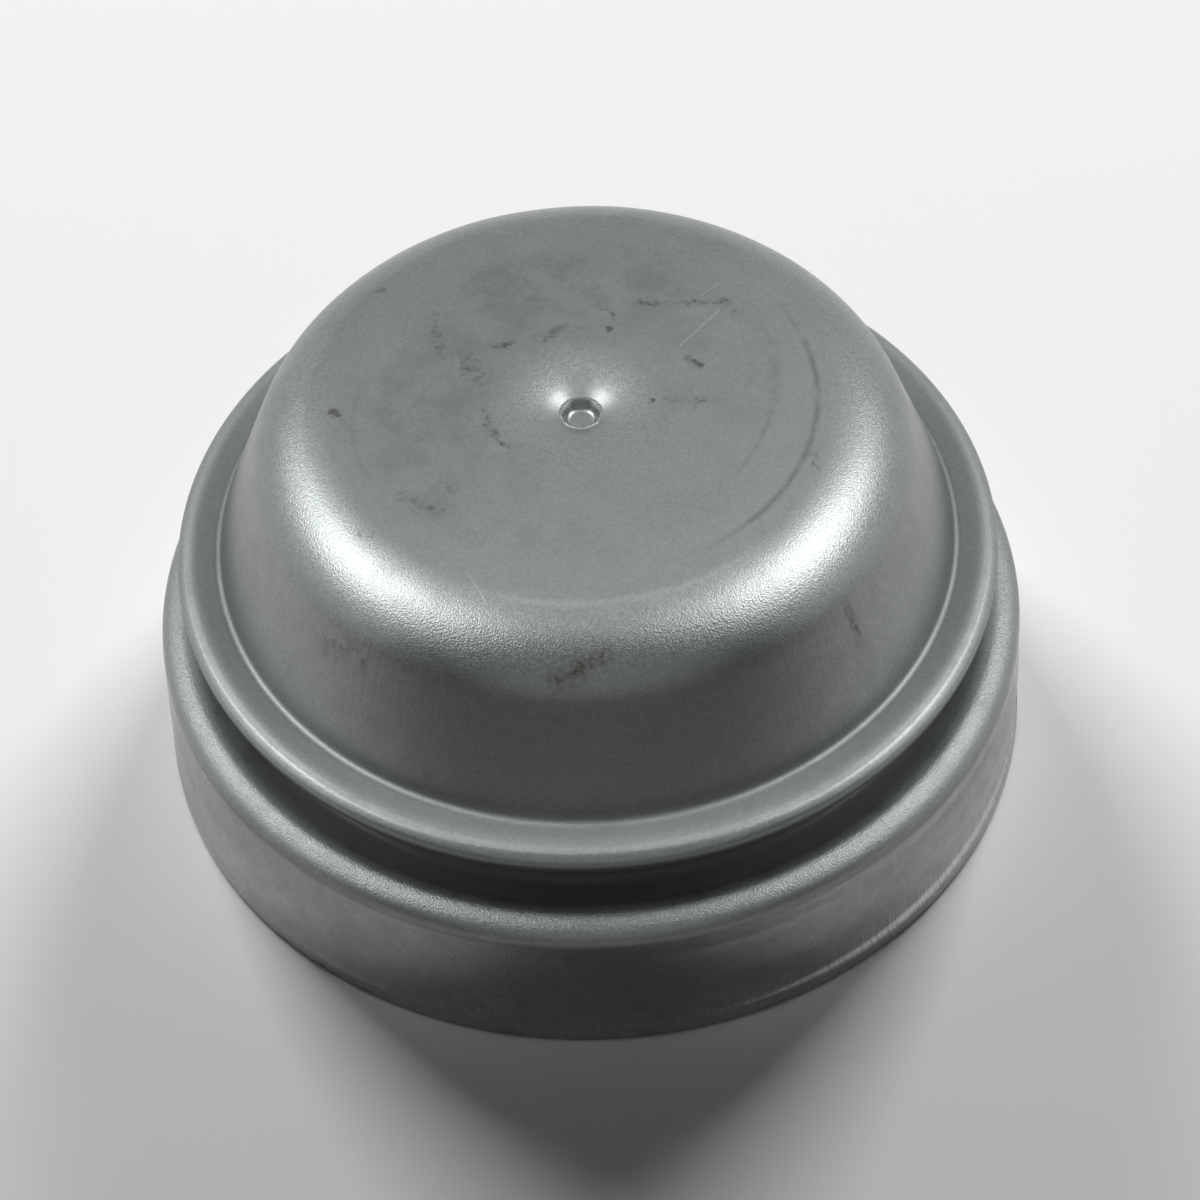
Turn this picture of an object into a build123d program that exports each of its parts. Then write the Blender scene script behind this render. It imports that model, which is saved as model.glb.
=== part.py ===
"""Hub grease cap: one deep-drawn pressing that closes the outer end of a wheel hub and keeps the grease in.

The cap stands on its trimmed rim with its axis along Z. A single sheet runs from the punched mark at the
centre of the top, over the dome, out along the flange, back under it as a flat fold, down the neck of the
pry groove, out along the ledge and down the skirt that is pressed into the hub.
"""

import os
from math import cos, radians, tan

from build123d import *

# Sheet, in millimetres. Every bend is given by its inside radius. Its outside radius is one sheet larger.
sheet = 1.0

# Skirt, the round wall that is pressed into the hub
skirt_radius = 30.0  # outside of the wall
skirt_height = 11.85  # rim up to the top of the ledge
skirt_bend = 1.0  # between wall and ledge
rim_round = 0.2  # rolled outer edge of the trimmed rim

# Pry groove between ledge and collar
groove_depth = 4.6  # skirt wall in to the neck
groove_height = 3.83  # ledge up to the underside of the collar
groove_bend = 0.9  # at both ends of the neck

# Collar, the sheet folded flat on itself
collar_width = 3.0  # foot of the dome out to the folded edge
fold_gap = 0.12  # air left between the two layers

# Dome
dome_height = 13.2  # flange up to the flat top
dome_lean = 16.85  # degrees by which the wall leans in towards the top
dome_bend = 5.4  # between wall and top
foot_bend = 0.5  # between wall and flange

# Shallow dimple in the middle of the top, with a mark punched into its bottom
dimple_radius = 5.2
dimple_depth = 0.62
mark_radius = 1.45  # at the mouth
mark_depth = 0.42
mark_slope = 60.0  # degrees by which its side falls
mark_round = 0.25  # at the mouth and round the floor

# Radii that follow from the sizes above
neck_radius = skirt_radius - groove_depth
collar_radius = neck_radius + collar_width
fold_radius = sheet + fold_gap / 2
fold_centre = collar_radius - fold_radius
lean = tan(radians(dome_lean))
wall_across = sheet / cos(radians(dome_lean))  # the leaning wall measured level
mark_floor_radius = mark_radius - mark_depth / tan(radians(mark_slope))

# Heights that follow from the sizes above
collar_underside = skirt_height + groove_height
fold_height = collar_underside + fold_radius
flange = fold_height + fold_radius
top = flange + dome_height
dimple_floor = top - dimple_depth
mark_floor = dimple_floor - mark_depth

with BuildPart() as cap:
    # Section of the sheet on one side of the axis, turned once round it
    with BuildSketch(Plane.XZ):
        with BuildLine():
            # Outside, from the middle of the top to the rim
            Line((0, dimple_floor), (mark_radius, dimple_floor))
            TangentArc((dimple_radius, top), (mark_radius, dimple_floor), tangent=(-1, 0))
            FilletPolyline(
                (dimple_radius, top),
                (neck_radius - dome_height * lean, top),
                (neck_radius, flange),
                (fold_centre, flange),
                radius=(dome_bend + sheet, foot_bend),
            )
            ThreePointArc(
                (fold_centre, flange),
                (collar_radius, fold_height),
                (fold_centre, collar_underside),
            )
            FilletPolyline(
                (fold_centre, collar_underside),
                (neck_radius, collar_underside),
                (neck_radius, skirt_height),
                (skirt_radius, skirt_height),
                (skirt_radius, 0),
                radius=(groove_bend, groove_bend, skirt_bend + sheet),
            )
            # Rim, and inside back to the middle of the top
            Line((skirt_radius, 0), (skirt_radius - sheet, 0))
            FilletPolyline(
                (skirt_radius - sheet, 0),
                (skirt_radius - sheet, skirt_height - sheet),
                (neck_radius - sheet, skirt_height - sheet),
                (neck_radius - sheet, collar_underside + sheet),
                (fold_centre, collar_underside + sheet),
                radius=(skirt_bend, groove_bend + sheet, groove_bend + sheet),
            )
            ThreePointArc(
                (fold_centre, collar_underside + sheet),
                (fold_centre + fold_gap / 2, fold_height),
                (fold_centre, flange - sheet),
            )
            FilletPolyline(
                (fold_centre, flange - sheet),
                (neck_radius - wall_across + sheet * lean, flange - sheet),
                (neck_radius - wall_across - (dome_height - sheet) * lean, top - sheet),
                (dimple_radius, top - sheet),
                radius=(foot_bend + sheet, dome_bend),
            )
            TangentArc((dimple_radius, top - sheet), (mark_radius, dimple_floor - sheet), tangent=(-1, 0))
            Polyline((mark_radius, dimple_floor - sheet), (0, dimple_floor - sheet), (0, dimple_floor))
        make_face()
    revolve(axis=Axis.Z)

    # Mark punched into the dimple from above
    with BuildSketch(Plane.XZ):
        with BuildLine():
            Polyline(
                (0, mark_floor),
                (mark_floor_radius, mark_floor),
                (mark_radius, dimple_floor),
                (mark_radius, top),
                (0, top),
                close=True,
            )
        make_face()
    revolve(axis=Axis.Z, mode=Mode.SUBTRACT)
    fillet(cap.edges(Select.LAST).filter_by(lambda edge: edge.is_closed), mark_round)

    # Outer edge of the rim, rolled by the trimming die
    rim_edges = cap.faces().sort_by(Axis.Z).first.edges().filter_by(GeomType.CIRCLE)
    fillet(rim_edges.sort_by(SortBy.RADIUS).last, rim_round)

os.makedirs("parts", exist_ok=True)
cap.part.label = "cap_shell"
export_step(cap.part, "parts/cap_shell.step")
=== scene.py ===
"""Looks of the hub grease cap: the drawn steel shell, its pale floor, soft studio light and the camera.

The sizes of the cap and the camera are in millimetres, and are multiplied by mm where they reach Blender.
Those of the floor and the lamps are in metres.
"""

from math import cos, pi, radians, sin, tan

import bpy
import numpy as np
from mathutils import Matrix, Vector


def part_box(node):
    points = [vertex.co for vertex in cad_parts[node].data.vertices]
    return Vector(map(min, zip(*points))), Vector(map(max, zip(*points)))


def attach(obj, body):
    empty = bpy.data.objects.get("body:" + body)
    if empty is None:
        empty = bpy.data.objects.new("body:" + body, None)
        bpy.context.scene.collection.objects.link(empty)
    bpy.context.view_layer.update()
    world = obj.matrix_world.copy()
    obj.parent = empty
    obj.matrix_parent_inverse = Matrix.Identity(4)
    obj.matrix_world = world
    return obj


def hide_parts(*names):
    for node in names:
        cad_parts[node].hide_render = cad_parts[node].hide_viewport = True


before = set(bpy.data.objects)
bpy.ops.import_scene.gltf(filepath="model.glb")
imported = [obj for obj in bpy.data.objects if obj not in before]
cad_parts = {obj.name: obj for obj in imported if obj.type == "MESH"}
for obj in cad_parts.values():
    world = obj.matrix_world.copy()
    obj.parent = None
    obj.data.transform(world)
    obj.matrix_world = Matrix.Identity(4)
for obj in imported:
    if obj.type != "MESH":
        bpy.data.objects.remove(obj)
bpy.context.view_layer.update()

# Cap shell: one round of cold-rolled steel sheet, deep drawn in a few strokes, folded flat on itself at
# the collar, marked in the middle of the top by a punch and trimmed at the rim. It is left bare, with the
# traces of the tools.

mm = 0.001
cap_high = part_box("cap_shell")[1]
skirt_radius = cap_high[0] / mm
top = cap_high[2] / mm
sheet = 1.0
fold_gap = 0.12
fold_radius = sheet + fold_gap / 2
ledge = 11.85
collar_underside = 15.68
flange = collar_underside + 2 * fold_radius
groove_depth = 4.6
collar_width = 3.0
neck_radius = skirt_radius - groove_depth
collar_radius = neck_radius + collar_width
dome_lean = radians(16.85)
lean = tan(dome_lean)
wall_across = sheet / cos(dome_lean)  # the leaning wall measured level

# Bends, by their inside radius, and the two edges of the trimmed rim
dome_bend = 5.4
foot_bend = 0.5
groove_bend = 0.9
ledge_bend = 0.8
rim_round = 0.2
burr_round = 0.03

# Crown of the top, dimple in three slopes, and the mark at its bottom with a raised lip and a bump beneath
crown_radius = 18.5
crown_height = 0.44
dimple_depth = 0.95
dimple_edge = (5.2, top)
dimple_edge_bend = 14.0
dimple_side = (3.5, top - 0.28)
dimple_side_bend = 9.0
dimple_foot = (2.3, top - 0.58)
dimple_foot_bend = 5.0
mark_depth = 0.72
mark_radius = 1.34
mark_mouth = top - dimple_depth
mark_floor = mark_mouth - mark_depth
mark_floor_radius = 0.9
mark_floor_bend = 0.4
lip_radius = 1.51
lip_height = 0.06
lip_round = 0.06
lip_foot_bend = 0.12
bump_height = 0.3
bump_edge_bend = 0.4
bump_bend = 0.5

# Corners of the sheet's section: distance from the axis, height, and the radius of the bend there
outside = [
    (0, mark_floor, 0),
    (mark_floor_radius, mark_floor, mark_floor_bend),
    (mark_radius, mark_mouth + lip_height, lip_round),
    (lip_radius, mark_mouth, lip_foot_bend),
    (*dimple_foot, dimple_foot_bend),
    (*dimple_side, dimple_side_bend),
    (*dimple_edge, dimple_edge_bend),
    (neck_radius - (top - flange) * lean, top, dome_bend + sheet),
    (neck_radius, flange, foot_bend),
    (collar_radius, flange, fold_radius),
    (collar_radius, collar_underside, fold_radius),
    (neck_radius, collar_underside, groove_bend),
    (neck_radius, ledge, groove_bend),
    (skirt_radius, ledge, ledge_bend + sheet),
    (skirt_radius, 0, rim_round),
]
inside = [
    (skirt_radius - sheet, 0, burr_round),
    (skirt_radius - sheet, ledge - sheet, ledge_bend),
    (neck_radius - sheet, ledge - sheet, groove_bend + sheet),
    (neck_radius - sheet, collar_underside + sheet, groove_bend + sheet),
    (collar_radius - sheet, collar_underside + sheet, fold_gap / 2),
    (collar_radius - sheet, flange - sheet, fold_gap / 2),
    (neck_radius - wall_across + sheet * lean, flange - sheet, foot_bend + sheet),
    (neck_radius - wall_across - (top - sheet - flange) * lean, top - sheet, dome_bend),
    (dimple_edge[0], dimple_edge[1] - sheet, dimple_edge_bend - sheet),
    (dimple_side[0], dimple_side[1] - sheet, dimple_side_bend - sheet),
    (dimple_foot[0], dimple_foot[1] - sheet, dimple_foot_bend - sheet),
    (lip_radius, mark_mouth - sheet, bump_edge_bend),
    (mark_floor_radius, mark_mouth - sheet - bump_height, bump_bend),
    (0, mark_mouth - sheet - bump_height, 0),
]


def unit(vectors):
    """Each row divided by its length."""
    return vectors / np.linalg.norm(vectors, axis=1, keepdims=True)


def bent_sheet(corners, arc_points=60):
    """Line through the corners with every inner corner rounded by its radius.

    An arc's centre lies on the line that halves the corner, at radius / sin(half the corner) from it. The
    arc's points lie round that centre, from one leg's square to the other's.
    """
    place = corners[:, :2]
    bend = corners[1:-1, 2:]
    to_last = unit(place[:-2] - place[1:-1])
    to_next = unit(place[2:] - place[1:-1])
    inward = unit(to_last + to_next)
    across = unit(to_next - to_last)
    half = np.arccos(np.sum(to_last * to_next, axis=1, keepdims=True)) / 2
    turn = np.linspace(-1, 1, arc_points) * (pi / 2 - half)
    centre = place[1:-1] + inward * bend / np.sin(half)
    arcs = centre[:, None] - (bend * np.cos(turn))[..., None] * inward[:, None]
    arcs = arcs + (bend * np.sin(turn))[..., None] * across[:, None]
    return np.concatenate([place[:1], arcs.reshape(-1, 2), place[-1:]])


def even_rows(line, rows, run_step=0.6, turn_step=radians(7), fine=4, shortest=1e-6):
    """The line at a number of rows, closer together where it bends and on the outside of skirt and flange.

    Each piece of the line counts its length over run_step plus its turn over turn_step, and the rows are an
    equal count apart. The lengths of skirt and flange count several times, as fine says.
    """
    step = np.diff(line, axis=0)
    length = np.hypot(step[:, 0], step[:, 1])
    line = line[np.append(True, length > shortest)]
    step = step[length > shortest]
    heading = np.unwrap(np.arctan2(step[:, 1], step[:, 0]))
    on_skirt = (line[1:, 0] > skirt_radius - 0.4) & (line[1:, 1] < ledge - 2)
    on_flange = (line[1:, 0] > neck_radius) & (np.abs(line[1:, 1] - flange) < 0.1)
    count = np.hypot(step[:, 0], step[:, 1]) / run_step * np.where(on_skirt | on_flange, fine, 1)
    count = count + np.abs(np.diff(heading, prepend=heading[0])) / turn_step
    count = np.append(0, np.cumsum(count))
    stations = np.linspace(0, count[-1], rows)
    return np.interp(stations, count, line[:, 0]), np.interp(stations, count, line[:, 1])


def ramp(low, high, value):
    """0 below low, 1 above high, and 3t² - 2t³ of the way t between them."""
    t = np.clip((value - low) / (high - low), 0, 1)
    return t * t * (3 - 2 * t)


def bell(value, middle, width):
    """1 at the middle, falling to both sides as exp(-((value - middle) / width)²)."""
    return np.exp(-(((value - middle) / width) ** 2))


section_rows = 370
columns = 264
radius, height = even_rows(bent_sheet(np.array(outside + inside)), section_rows)
radius[[0, -1]] = 0
square = unit(np.stack([-np.gradient(height), np.gradient(radius)], axis=1))
around = np.linspace(0, 2 * pi, columns, endpoint=False)

# Where each point lies: its distance from the axis, its height, the way its surface faces (in degrees, 0 is
# up and 90 is away from the axis) and its angle from the front towards +X
r = radius[1:-1, None]
z = height[1:-1, None]
outward = square[1:-1, :1]
upward = square[1:-1, 1:]
tilt = np.degrees(np.arctan2(outward, upward))
turned = np.degrees(around - 2 * pi * (around > pi))
in_front = ramp(0.35, 0.75, np.cos(around))
right_side = np.exp(2.2 * (np.cos(around - radians(58)) - 1))
is_top = (z > top - 1.5) * (r < crown_radius + 0.5) * (np.abs(tilt) < 45)
is_dome_corner = (z > flange + 6.2) * bell(tilt, 37, 26) * ramp(1, 6, tilt)
is_skirt = (tilt > 60) * (z < ledge - 1.95)
is_flange_sheet = (z > flange - 0.5) * (z < flange + 0.4)

# Unevenness of the drawn sheet, out of its surface: the shoulder of the dome drawn in, a faint waist under
# the ledge, the wall set back above the rim so that a lip is left, the flange rolled off to the fold, and
# waves round the cap
shoulder = -0.22 * ramp(crown_radius - 6, crown_radius, r) * ramp(flange + 2.2, top - 1, z)
shoulder = shoulder * (tilt > -30) * (tilt < 80)
waist = -0.09 * bell(z, ledge - 3.15, 0.55) * is_skirt * right_side**2
lip = -0.24 * ramp(1.05, 1.65, z) * (1 - ramp(2.2, 5.5, z)) * is_skirt * (0.2 + 0.8 * right_side)
rolled = -0.055 * ramp(collar_radius - 1.65, collar_radius - 0.65, r) * is_flange_sheet
rolled = rolled * (1 - ramp(40, 80, tilt))
oval = 0.02 * np.sin(2 * around + 0.6) + 0.012 * np.sin(3 * around + 2.0)
ripple = 0.010 * np.sin(7 * around + 1.1) + 0.008 * np.sin(11 * around + 0.4) + 0.006 * np.sin(17 * around)
relief = shoulder + waist + lip + rolled
relief = relief + ripple * is_dome_corner + oval * ramp(2, 25, r) * np.abs(outward)

# Unevenness in height: the rim's sheared edge with one nick, the crown of the top, and the mark's worn lip
sheared = 0.05 * np.clip(np.sin(19 * around) + np.sin(31 * around + 2) + np.sin(53 * around + 1), 0, None)
nick = 0.3 * bell(turned, -40.4, 1.0)
crown = crown_height * np.clip(1 - (r / crown_radius) ** 2, 0, None) ** 2 * (z > top - 3)
worn = -0.05 * bell(r, mark_radius + 0.05, 0.08) * (np.abs(z - mark_mouth) < 0.1) * (1 - in_front)

ring = r + outward * relief
level = z + upward * relief + (sheared + nick) * (1 - ramp(0, 0.7, z)) + crown + worn
level = np.maximum(level, 0)
points = np.stack([ring * np.sin(around), -ring * np.cos(around), level], axis=-1).reshape(-1, 3)
poles = np.array([[0, 0, level[0, 0]], [0, 0, level[-1, 0]]])

index = np.arange((section_rows - 2) * columns).reshape(-1, columns)
beside = np.roll(index, -1, axis=1)
quads = np.stack([index[:-1], index[1:], beside[1:], beside[:-1]], axis=-1).reshape(-1, 4)
first_pole = np.full(columns, index.size)
top_fan = np.stack([first_pole, index[0], beside[0]], axis=-1)
inner_fan = np.stack([index[-1], first_pole + 1, beside[-1]], axis=-1)

shell_points = (np.concatenate([points, poles]) * mm).tolist()
shell_faces = quads.tolist() + top_fan.tolist() + inner_fan.tolist()
shell_mesh = bpy.data.meshes.new("cap_shell_drawn")
shell_mesh.from_pydata(shell_points, [], shell_faces)
shell_mesh.shade_smooth()
shell_mesh.update()
shell = bpy.data.objects.new("cap_shell_drawn", shell_mesh)
bpy.context.collection.objects.link(shell)
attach(shell, "root")
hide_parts("cap_shell")


def paint(name, values):
    """A number for every point of the mesh, the same at a pole as beside it."""
    values = values + 0 * around
    layer = shell_mesh.attributes.new(name, "FLOAT", "POINT")
    layer.data.foreach_set("value", np.concatenate([values.ravel(), values[[0, -1], 0]]))


# Regions of the finish, and of the painted shade in the groove and on the flange
is_wall = bell(tilt, 73, 9) * (z > flange + 0.1)
is_ledge_corner = bell(tilt, 30, 26) * (z < ledge + 0.15) * (r > skirt_radius - 2.1)
is_bead = ramp(4, 20, tilt) * (z > collar_underside - 0.08) * (z < flange + 0.1) * (r > collar_radius - 1.4)
is_flange = (z > flange - 0.2) * (z < flange + 0.15) * (np.abs(tilt) < 30)
is_flange = is_flange * ramp(neck_radius - 0.1, neck_radius + 0.4, r)
is_foot = bell(z, flange + 0.1, 0.5) * (r > neck_radius - 0.9) * (r < neck_radius + 0.4) * (tilt > 0)
is_dimple = is_top * ramp(1.8, 3.4, r) * (1 - ramp(dimple_edge[0] - 1.2, dimple_edge[0] + 1.3, r))
in_groove = (z > ledge + 0.15) * (z < flange - 0.6) * (r > neck_radius - 0.1)
# Painted shade: the groove under the collar and beside the neck, reaching further out at the front, gets a
# dark matt colour in place of the bare steel
under_collar = ramp(72, 104, tilt) * in_groove
beside_neck = 1 - ramp(neck_radius + 0.1, neck_radius + 1.0, r - 0.9 * in_front)
beside_neck = beside_neck * (z > ledge - 0.35) * (z < collar_underside - 0.68) * (tilt > -5)
above_lip = 0.5 * ramp(1.2, 1.8, z) * (1 - ramp(2, 5, z))
# Duller flange with painted shade: flange and foot of the dome darkened most at the left and right of the
# cap, hardly at front and back
dull_shaded_flange = 1.2 * is_flange * (1 - ramp(collar_radius - 1.5, collar_radius - 0.8, r))
sidewards = 0.05 + 0.95 * np.sin(around) ** 2
stretched_edges = is_dome_corner + 1.5 * is_ledge_corner + 0.42 * is_bead
paint("stretched", stretched_edges + 0.17 * is_wall + 0.6 * is_dimple)
paint("ironed", np.maximum(is_wall, (np.abs(tilt) > 60) * (z < collar_underside - 0.68)))
paint("scored", is_skirt * (1 - ramp(1.7, 4.2, z)) * (0.1 + 0.9 * right_side))
paint("scraped", is_skirt * right_side**2 * np.maximum(bell(z, 1.45, 0.42), above_lip))
paint("matt", is_flange + 0.35 * is_bead + 1.3 * is_ledge_corner + 0.8 * is_foot)
paint("dull_and_side_shade", np.maximum(dull_shaded_flange, 0.4 * is_foot) * sidewards)
paint("groove_shade", np.maximum(under_collar, beside_neck))
paint("topside", is_top * ramp(lip_radius - 0.11, lip_radius + 0.19, r))
paint("burnished", is_skirt)


class Field:
    """A socket whose value varies over a surface. Arithmetic on it adds Math nodes, and add() any other."""

    def __init__(self, tree, socket=None):
        self.tree = tree
        self.socket = socket

    def add(self, kind, settings=None, inputs=None, output=0):
        """A new node: first its settings, then a value or a link for each input, by name or number."""
        node = self.tree.nodes.new("ShaderNode" + kind)
        for name, value in (settings or {}).items():
            setattr(node, name, value)
        for name, value in (inputs or {}).items():
            if isinstance(value, Field):
                self.tree.links.new(value.socket, node.inputs[name])
            else:
                node.inputs[name].default_value = value
        return Field(self.tree, node.outputs[output] if node.outputs else None)

    def math(self, operation, first, second):
        """One Math node on two values."""
        return self.add("Math", {"operation": operation}, {0: first, 1: second})

    def __add__(self, other):
        return self.math("ADD", self, other)

    def __sub__(self, other):
        return self.math("SUBTRACT", self, other)

    def __rsub__(self, other):
        return self.math("SUBTRACT", other, self)

    def __mul__(self, other):
        return self.math("MULTIPLY", self, other)

    __radd__ = __add__
    __rmul__ = __mul__


def fade(value, low, high):
    """0 at low, 1 at high and a smooth step between, for a low above or below the high."""
    return value.add("MapRange", {"interpolation_type": "SMOOTHSTEP"}, {0: value, 1: low, 2: high})


def noise(place, scale, detail=2.0, roughness=0.5, output=0):
    """Noise about 0.5, its largest grains 1 / scale apart."""
    inputs = {"Vector": place, "Scale": scale, "Detail": detail, "Roughness": roughness}
    return place.add("TexNoise", {}, inputs, output)


def vector(operation, first, second=(0, 0, 0), output=0):
    """One Vector Math node on a vector and, where the operation takes it, a second one."""
    return first.add("VectorMath", {"operation": operation}, {0: first, 1: second}, output)


def scaled(value, factor):
    """A vector or colour times a number, either of which may vary."""
    field = value if isinstance(value, Field) else factor
    return field.add("VectorMath", {"operation": "SCALE"}, {0: value, 3: factor})


def tint(share, under, over):
    """The under colour with a share of the over colour mixed in."""
    return share.add("Mix", {"data_type": "RGBA"}, {0: share, 6: under, 7: over}, output=2)


def strongest(marks):
    """At each place the largest of several marks."""
    most = marks[0]
    for mark in marks[1:]:
        most = most.math("MAXIMUM", most, mark)
    return most


def stroke(place, start, end, width):
    """1 on the straight line from start to end, falling to 0 at the width from it.

    The nearest point lies a share of the way along the line: the way from start to the place times the line,
    over the line's square, kept between 0 and 1.
    """
    line = np.subtract((*end, 0), (*start, 0))
    away = vector("SUBTRACT", place, (*start, 0))
    share = vector("DOT_PRODUCT", away, tuple(line / (line @ line)), output=1)
    share = share.add("Clamp", {}, {0: share})
    nearest = scaled(tuple(line), share)
    return fade(vector("DISTANCE", away, nearest, output=1), width, 0.0)


def strokes(place, marks):
    """The strongest of several strokes, each given by its start, end, width and strength."""
    return strongest([stroke(place, start, end, width) * strength for start, end, width, strength in marks])


def rubbed_arc(place, centre, size, width, middle, reach):
    """1 on a circle of that size round a centre, falling to 0 at the width from it and at the reach along it.

    Its middle is an angle from the front towards +X, and its reach the angle to each side, both in degrees.
    """
    away = vector("SUBTRACT", place, (*centre, 0))
    off = vector("LENGTH", away, output=1) - size
    towards = (sin(radians(middle)), -cos(radians(middle)), 0)
    facing = vector("DOT_PRODUCT", vector("NORMALIZE", away), towards, output=1)
    across = fade(off.math("ABSOLUTE", off, 0.0), width, 0.0)
    return across * fade(facing, cos(radians(reach)), cos(radians(0.5 * reach)))


steel = bpy.data.materials.new("bare_drawn_steel")
steel.use_nodes = True
steel.node_tree.nodes.clear()
nodes = Field(steel.node_tree)
regions = ("stretched", "ironed", "burnished", "scored", "scraped", "matt", "dull_and_side_shade", "groove_shade", "topside")
stretched, ironed, burnished, scored, scraped, matt, dull_and_side_shade, groove_shade, topside = [
    nodes.add("Attribute", {"attribute_name": name}, output=2) for name in regions
]
place = scaled(nodes.add("TexCoord", output=3), 1 / mm)
flat_place = vector("MULTIPLY", place, (1, 1, 0))
from_axis = vector("LENGTH", flat_place, output=1)
above_rim = nodes.add("SeparateXYZ", {}, {0: place}, output=2)
cloud = noise(place, 0.13, 3.0)
mottle = noise(place, 0.55, 4.0, 0.6)
blots = noise(place, 1.9, 4.0, 0.66)
speckle = noise(place, 4.0, 3.0, 0.7)
grain = noise(place, 7.5, 2.0, 0.6)

# Lines drawn down the wall and the skirt by the die: fine round the cap and long in height
round_cap = vector("MULTIPLY", vector("NORMALIZE", flat_place), (70, 70, 0))
line_place = vector("ADD", round_cap, vector("MULTIPLY", place, (0, 0, 0.06)))
draw_lines = noise(line_place, 1.0, 3.0, 0.6)
score_lines = noise(line_place, 2.4, 2.0, 0.6)

# Dried grease and dirt on the top, in spots and lines with ragged edges: start, end, width and darkness
wander = vector("SUBTRACT", noise(place, 1.3, 3.0, 0.6, output=1), (0.5, 0.5, 0.5))
ragged = vector("ADD", flat_place, vector("MULTIPLY", wander, (0.9, 0.9, 0)))
smears = [
    ((-11.2, -2.3), (-11.2, -2.4), 0.9, 0.5),
    ((-16.6, 0.8), (-16.5, 0.6), 0.75, 1.0),
    ((-16.2, 0.0), (-15.4, -1.0), 0.5, 0.5),
    ((-13.8, 12.2), (-13.4, 12.2), 0.6, 0.7),
    ((-9.7, 9.2), (-9.5, 5.6), 0.7, 0.65),
    ((-9.4, 5.0), (-8.4, 2.2), 0.8, 0.4),
    ((-7.4, 4.6), (-7.0, 3.0), 2.0, 0.56),
    ((-5.9, 5.8), (-4.6, 5.9), 0.7, 0.75),
    ((-2.6, 5.9), (-1.0, 7.4), 0.8, 0.68),
    ((2.2, 6.9), (2.2, 7.0), 0.5, 1.0),
    ((1.6, 9.2), (2.6, 8.3), 0.8, 0.5),
    ((4.4, 9.3), (10.7, 8.9), 0.6, 0.6),
    ((4.4, 9.3), (5.4, 9.2), 0.8, 0.8),
    ((10.6, 9.0), (10.9, 7.9), 0.7, 0.5),
    ((7.5, 3.8), (8.3, 3.2), 0.7, 0.85),
    ((5.0, 0.1), (9.3, -0.1), 1.0, 0.55),
    ((-6.4, -0.2), (-6.3, -1.7), 0.5, 0.7),
    ((-6.3, -1.7), (-5.1, -3.6), 0.55, 0.7),
    ((-12.3, -7.2), (-10.9, -8.2), 0.8, 0.6),
    ((-11.0, -8.3), (-9.8, -8.8), 1.1, 0.65),
    ((-15.0, -10.1), (-13.9, -10.5), 0.8, 0.55),
    ((15.5, -5.2), (15.6, -6.2), 0.7, 0.55),
    ((-2.7, 11.4), (-2.8, 9.4), 1.1, 0.4),
    ((8.2, 9.3), (8.7, 9.1), 0.7, 0.75),
    ((10.0, 9.4), (10.4, 9.2), 0.65, 0.7),
    ((2.5, 8.3), (2.6, 8.1), 0.6, 0.8),
    ((4.8, 0.2), (4.9, 0.1), 0.5, 0.9),
    ((-8.9, -7.0), (-8.8, -7.1), 0.5, 0.75),
]
likely = strokes(ragged, smears)
spots = fade(likely + (blots - 0.5) * 2.2, 0.35, 1.1)

# Arcs rubbed by something round that stood on the top
rubs = strongest([
    rubbed_arc(flat_place, (0, 0.9), 16.05, 0.42, 74, 52) * 0.62,
    rubbed_arc(flat_place, (-2.2, 2.6), 15.5, 0.34, 80, 32) * 0.42,
    rubbed_arc(ragged, (-2.2, 2.6), 15.5, 0.8, 90, 14) * 0.4,
    rubbed_arc(flat_place, (-5.5, -0.9), 10.0, 0.3, -84, 32) * 0.25,
])
dirt = strongest([spots, rubs * fade(mottle, 0.25, 0.55)]) * topside

# Rust-brown stains where the dome turns down, with one on the left that is broken up and faint
stains = [
    ((-2.6, -21.6), (-0.9, -21.3), 0.7, 0.8),
    ((-0.9, -21.3), (0.9, -20.5), 0.85, 1.0),
    ((17.3, -14.9), (17.7, -15.2), 0.65, 0.8),
]
faint_stain = stroke(ragged, (-17.6, -14.7), (-15.2, -17.1), 0.7) * fade(mottle, 0.44, 0.60) * 0.6
stain = strongest([strokes(ragged, stains), faint_stain])
stain = stain * (0.2 + fade(blots, 0.38, 0.66) * 0.7) * fade(above_rim, flange + 4.2, flange + 7.2)

# Bright scratches, and a ring at the front that the drawing tool rubbed bright
scratches = [
    ((7.0, 5.1), (9.8, 8.4), 0.12, 1.0),
    ((8.6, 9.9), (9.9, 11.0), 0.1, 0.7),
    ((8.5, 3.0), (10.5, 4.5), 0.1, 0.5),
    ((-8.0, -14.2), (-6.9, -16.6), 0.12, 0.8),
]
scratch = strokes(flat_place, scratches) * topside
witness = rubbed_arc(ragged, (0, 0), 17.3, 0.5, 8, 40) * fade(above_rim, top - 1.5, top - 0.5)

# Thin film of drawing oil, in patches between dimple and dome corner and most at the back on the left
patches = fade(noise(ragged, 0.28, 4.0, 0.62), 0.40, 0.64)
patches = patches * fade(from_axis, 3.5, 6.5) * fade(from_axis, 16.5, 13.0)
back_left = fade(vector("DOT_PRODUCT", place, (-0.68, 0.73, 0), output=1), -13.0, 12.0)
film = (back_left * 0.38 + patches * (0.15 + back_left * 0.3) + likely * 0.35) * topside
film = film + (cloud - 0.5) * 0.9 + (mottle - 0.5) * 0.9 + ironed * 0.15

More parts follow.
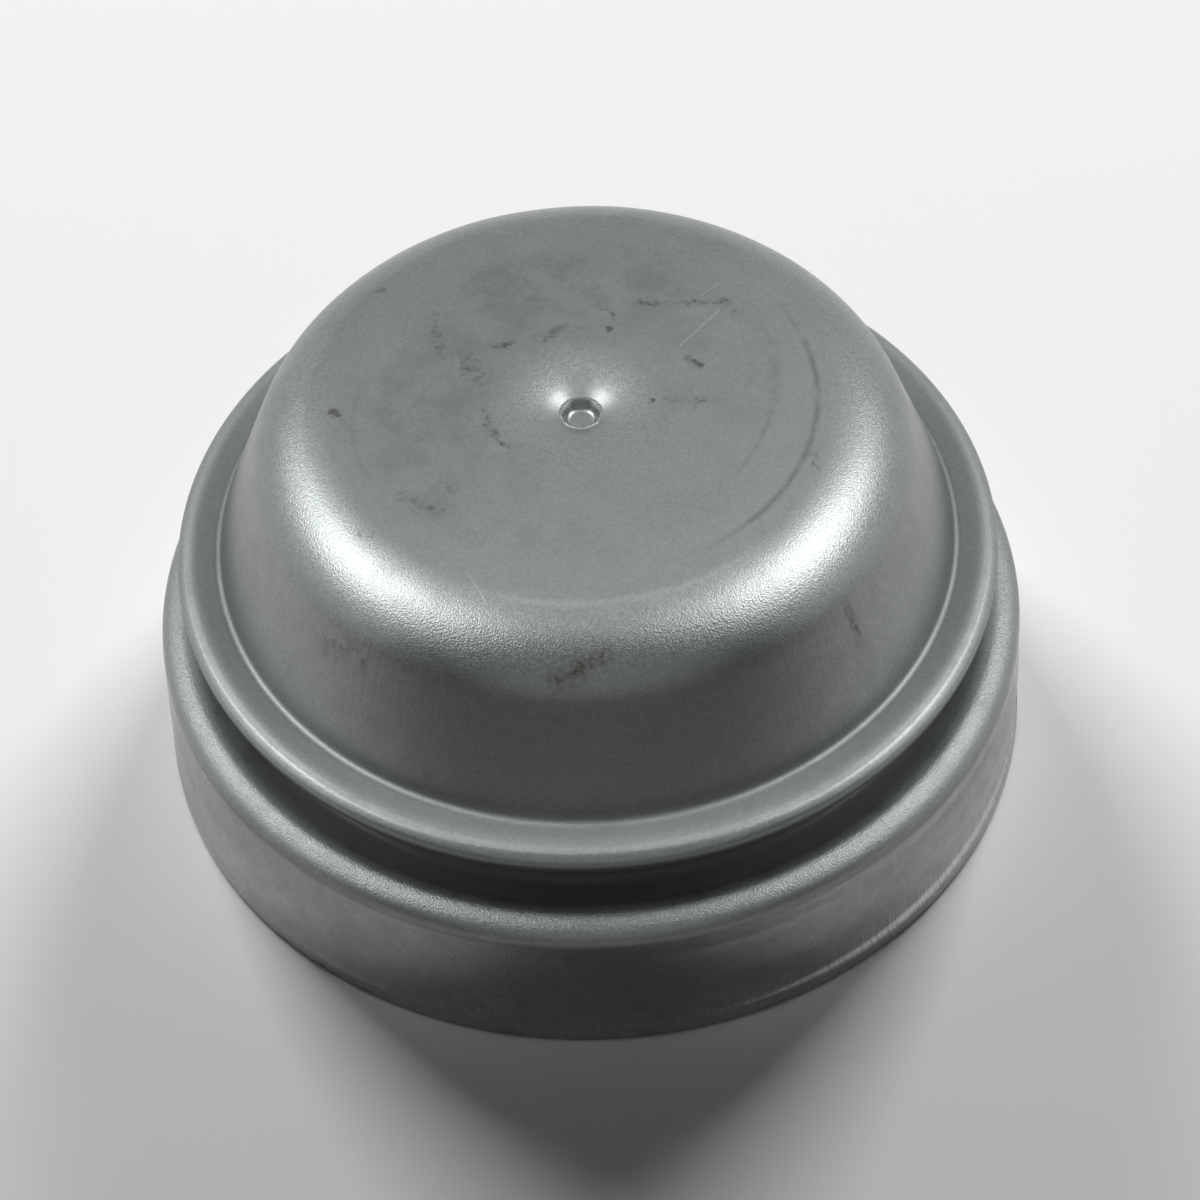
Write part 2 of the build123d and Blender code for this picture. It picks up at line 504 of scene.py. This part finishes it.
plain_steel = (0.256, 0.274, 0.274, 1)
ironed_steel = (0.257, 0.272, 0.257, 1)
burnished_steel = (0.352, 0.368, 0.345, 1)
oiled_steel = (0.180, 0.192, 0.190, 1)
dull_shaded_steel = (0.165, 0.179, 0.181, 1)
dimple_painted_sheen = (0.276, 0.292, 0.292, 1)
dry_dirt = (0.055, 0.057, 0.055, 1)
rust_brown = (0.060, 0.049, 0.030, 1)
bright_steel = (0.470, 0.480, 0.480, 1)
scraped_steel = (0.640, 0.655, 0.645, 1)
painted_groove_shade = (0.07, 0.073, 0.07, 1)

colour = tint(ironed, plain_steel, ironed_steel)
colour = tint(burnished, colour, burnished_steel)
colour = tint(film, colour, oiled_steel)
# Painted shade on the flange and the foot of the dome, strongest at the left and right
colour = tint(dull_and_side_shade * 0.9, colour, dull_shaded_steel)
# Painted sheen: the top made lighter round the dimple, fading out by 7 mm from the axis
colour = tint(fade(from_axis, 7.0, 3.4) * topside, colour, dimple_painted_sheen)
colour = tint(dirt, colour, dry_dirt)
colour = tint(stain, colour, rust_brown)
colour = tint(scratch * 0.3, colour, bright_steel)
colour = tint(witness * 0.2, colour, bright_steel)
colour = tint(scraped * fade(score_lines + scraped * 0.6, 0.65, 1.0), colour, scraped_steel)
colour = scaled(colour, 1.0 + (speckle - 0.5) * (stretched * 0.4 + 0.5))

plain_roughness = 0.37
roughness = plain_roughness - burnished * 0.08 + matt * 0.2 - stretched * 0.07
roughness = roughness + (speckle - 0.5) * stretched * 0.15
roughness = roughness + (mottle - 0.5) * 0.12 + (cloud - 0.5) * 0.1 + dirt * 0.15 + stain * 0.2

# Heights in millimetres: the grain of the stretched corners, mottling, die lines, score marks and scratches
uneven = (grain - 0.5) * (stretched * 0.034 + 0.002) + (mottle - 0.5) * (ironed * 0.008 + 0.006)
uneven = uneven + (draw_lines - 0.5) * ironed * 0.015 + (score_lines - 0.5) * scored * 0.016
uneven = uneven - scratch * 0.006
bump = nodes.add("Bump", {}, {"Height": uneven, "Distance": mm, "Strength": 1.0})
bare = nodes.add(
    "BsdfPrincipled",
    {},
    {"Base Color": colour, "Metallic": 1.0 - dirt * 0.5, "Roughness": roughness, "Normal": bump},
)
# Painted shade in the groove: a dark matt colour mixed over the bare steel
groove_shade_surface = nodes.add("BsdfDiffuse", {}, {"Color": painted_groove_shade})
surface = nodes.add("MixShader", {}, {0: groove_shade * 0.94, 1: bare, 2: groove_shade_surface})
nodes.add("OutputMaterial", {}, {"Surface": surface})
shell_mesh.materials.append(steel)

# Floor: a wide sheet of pale matt card that the cap stands on. Its colour is painted darker far away, a
# painted falloff of light as at the edge of a lit table, and painted shade darkest in the sector in front of
# the cap, which the front of dome and skirt reflect.

floor_reach = 0.9
floor_level = -0.02 * mm
floor_corners = np.array([[-1, -1, 0], [1, -1, 0], [1, 1, 0], [-1, 1, 0]]) * floor_reach
floor_corners = floor_corners + [0, 0, floor_level]
floor_mesh = bpy.data.meshes.new("floor")
floor_mesh.from_pydata(floor_corners.tolist(), [], [(0, 1, 2, 3)])
floor = bpy.data.objects.new("floor", floor_mesh)
bpy.context.collection.objects.link(floor)

pale_middle = (0, 0.03, 0)
pale_stretch = (0.75, 1, 1)  # the pale part is wider than it is deep
pale_card = (0.82, 0.82, 0.82, 1)
far_painted_shade = (0.42, 0.42, 0.42, 1)
front_shade = (0.18, 0.18, 0.18, 1)
card = bpy.data.materials.new("pale_card")
card.use_nodes = True
card.node_tree.nodes.clear()
nodes = Field(card.node_tree)
place = vector("SUBTRACT", nodes.add("TexCoord", output=3), pale_middle)
place = vector("MULTIPLY", place, pale_stretch)
distance = vector("LENGTH", place, output=1)
facing = vector("DOT_PRODUCT", vector("NORMALIZE", place), (0, -1, 0), output=1)
# Painted falloff of light and painted shade: the card's colour falls to grey far from the middle and to dark
# in front of the cap
shade = tint(fade(distance, 0.08, 0.55), pale_card, far_painted_shade)
shade = tint(fade(distance, 0.079, 0.110) * fade(facing, 0.2, 0.75), shade, front_shade)
surface = nodes.add("BsdfDiffuse", {}, {"Color": shade})
nodes.add("OutputMaterial", {}, {"Surface": surface})
floor_mesh.materials.append(card)

# Light: a dim even surround, a wide soft panel that leans over the cap from behind and a card in front of
# it. On each side stand a low panel, a soft lamp with a fainter glow beside it, and a lamp far behind for
# the floor. Each lamp is flagged off from what it isn't meant for.

surround_level = 0.07
surround = bpy.data.worlds.new("studio")
bpy.context.scene.world = surround
surround.use_nodes = True
surround.node_tree.nodes["Background"].inputs["Color"].default_value = (1, 1, 1, 1)
surround.node_tree.nodes["Background"].inputs["Strength"].default_value = surround_level


def soft_lamp(name, lights, width, depth, place, brightness):
    """A rectangular area lamp at a place, facing the cap and lighting one object.

    A lamp's power is its brightness times pi times its area.
    """
    data = bpy.data.lights.new(name, "AREA")
    data.shape = "RECTANGLE"
    data.size = width
    data.size_y = depth
    data.energy = brightness * pi * width * depth
    lamp = bpy.data.objects.new(name, data)
    bpy.context.collection.objects.link(lamp)
    lamp.location = place
    lamp.rotation_mode = "QUATERNION"
    lamp.rotation_quaternion = lamp.location.to_track_quat("Z", "Y")
    lit = bpy.data.collections.new(name + "_lights")
    lit.objects.link(lights)
    lamp.light_linking.receiver_collection = lit
    lamp.visible_camera = False


soft_lamp("leaning_panel", shell, 2.0, 2.0, (0, 0.344, 0.491), 0.735)
soft_lamp("front_card", shell, 0.9, 0.7, (0, -0.6, 0.33), 0.34)
for side, name in ((-1, "left"), (1, "right")):
    soft_lamp(name + "_panel", shell, 0.75, 0.75, (side * 0.56, 0.05, 0.20), 0.88)
    soft_lamp(name + "_lamp", shell, 0.5, 0.5, (side * 0.53, 0.07, 0.61), 4.5)
    soft_lamp(name + "_glow", shell, 0.45, 0.45, (side * 0.38, 0.24, 0.68), 0.45)
    soft_lamp(name + "_floor_lamp", floor, 0.8, 0.8, (side * 0.86, 1.48, 0.80), 20.5)

# Camera: a long lens less than half a metre away, looking down at the front of the cap and turned a little
# about its own line.

camera_distance = 450 * mm
looks_down = radians(49.07)
camera_roll = radians(2.64)
target = np.array([0.705, 0, 11.109]) * mm
towards_camera = np.array([0, -cos(looks_down), sin(looks_down)])
level_right = np.array([1, 0, 0])
level_up = np.cross(towards_camera, level_right)
camera_right = level_right * cos(camera_roll) - level_up * sin(camera_roll)
camera_up = level_right * sin(camera_roll) + level_up * cos(camera_roll)
eye = target + towards_camera * camera_distance

camera_data = bpy.data.cameras.new("camera")
camera_data.sensor_width = 36
camera_data.lens = 193.2
camera_data.clip_start = 0.01
camera = bpy.data.objects.new("camera", camera_data)
bpy.context.collection.objects.link(camera)
pose = np.eye(4)
pose[:3] = np.stack([camera_right, camera_up, towards_camera, eye], axis=1)
camera.matrix_world = Matrix(pose.tolist())
bpy.context.scene.camera = camera
bpy.context.scene.view_settings.view_transform = "Standard"
